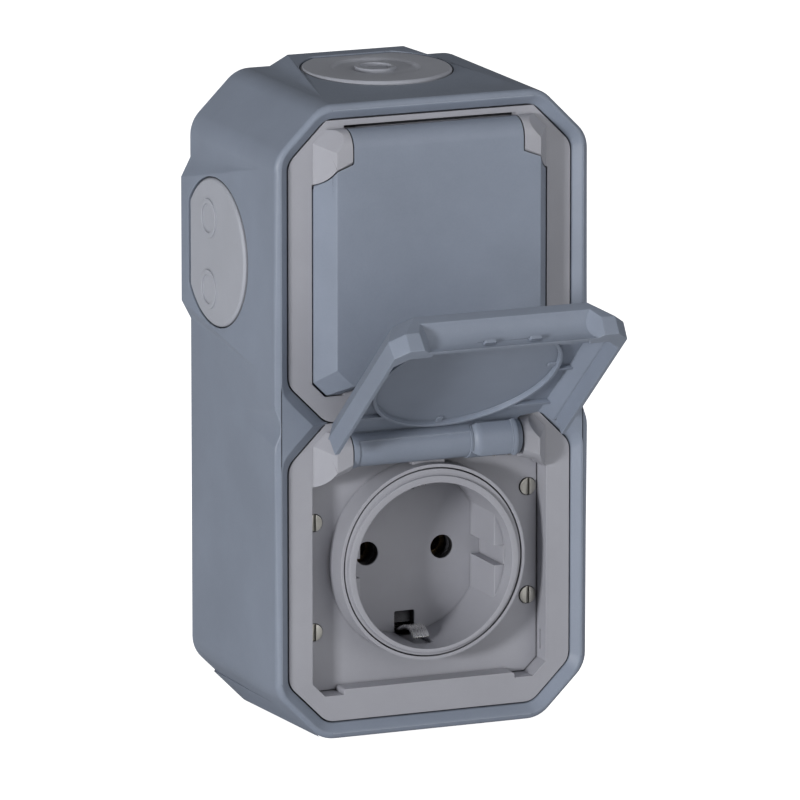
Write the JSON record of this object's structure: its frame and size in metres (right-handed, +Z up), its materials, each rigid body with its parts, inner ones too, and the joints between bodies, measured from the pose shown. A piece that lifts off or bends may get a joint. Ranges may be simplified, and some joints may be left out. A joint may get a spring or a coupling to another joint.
{
  "type": "double power socket",
  "caption": "Surface-mounted splash-proof double power socket: two earthed gangs in one grey housing, each under a hinged lid, the lower one open, with cable-entry membranes.",
  "frame": {"origin": "middle of the wall face of the housing", "axes": "+X to the right seen from the front, +Y towards the wall, +Z up"},
  "size_m": [0.081, 0.0991, 0.154],
  "materials": {
    "blue_grey_plastic": "fine satin texture",
    "grey_plastic": "satin",
    "soft_grey": "soft satin",
    "sealing_rubber": "matt",
    "plated_steel": "zinc plated",
    "spring_metal": "nickel plated",
    "contact_brass": "plain"
  },
  "bodies": {
    "housing": {"housing": "blue_grey_plastic", "top_membrane": "soft_grey", "side_membrane": "soft_grey", "upper_frame": "grey_plastic", "upper_frame_gasket": "sealing_rubber", "upper_cover_plate": "grey_plastic", "upper_fixing_screws": "plated_steel", "upper_socket_insert": "grey_plastic", "upper_earth_bracket": "spring_metal", "upper_contact_base": "grey_plastic", "upper_left_contact": "contact_brass", "upper_right_contact": "contact_brass", "upper_terminal_screws": "plated_steel", "upper_base_cover": "grey_plastic", "upper_hinge_pin": "plated_steel", "lower_frame": "grey_plastic", "lower_frame_gasket": "sealing_rubber", "lower_cover_plate": "grey_plastic", "lower_fixing_screws": "plated_steel", "lower_socket_insert": "grey_plastic", "lower_earth_bracket": "spring_metal", "lower_contact_base": "grey_plastic", "lower_left_contact": "contact_brass", "lower_right_contact": "contact_brass", "lower_terminal_screws": "plated_steel", "lower_base_cover": "grey_plastic", "lower_hinge_pin": "plated_steel"},
    "upper_lid": {"upper_lid": "blue_grey_plastic", "upper_spring_cover": "blue_grey_plastic", "upper_lid_spring": "plated_steel"},
    "lower_lid": {"lower_lid": "blue_grey_plastic", "lower_spring_cover": "blue_grey_plastic", "lower_lid_spring": "plated_steel"}
  },
  "joints": [
    {"name": "upper_lid_hinge", "type": "hinge", "parent": "housing", "child": "upper_lid", "pos_m": [0, -0.0512, 0.0645], "axis": [-1, 0, 0], "range_deg": [0, 9]},
    {"name": "lower_lid_hinge", "type": "hinge", "parent": "housing", "child": "lower_lid", "pos_m": [0, -0.0512, -0.0065], "axis": [-1, 0, 0], "range_deg": [-130, 0]}
  ]
}
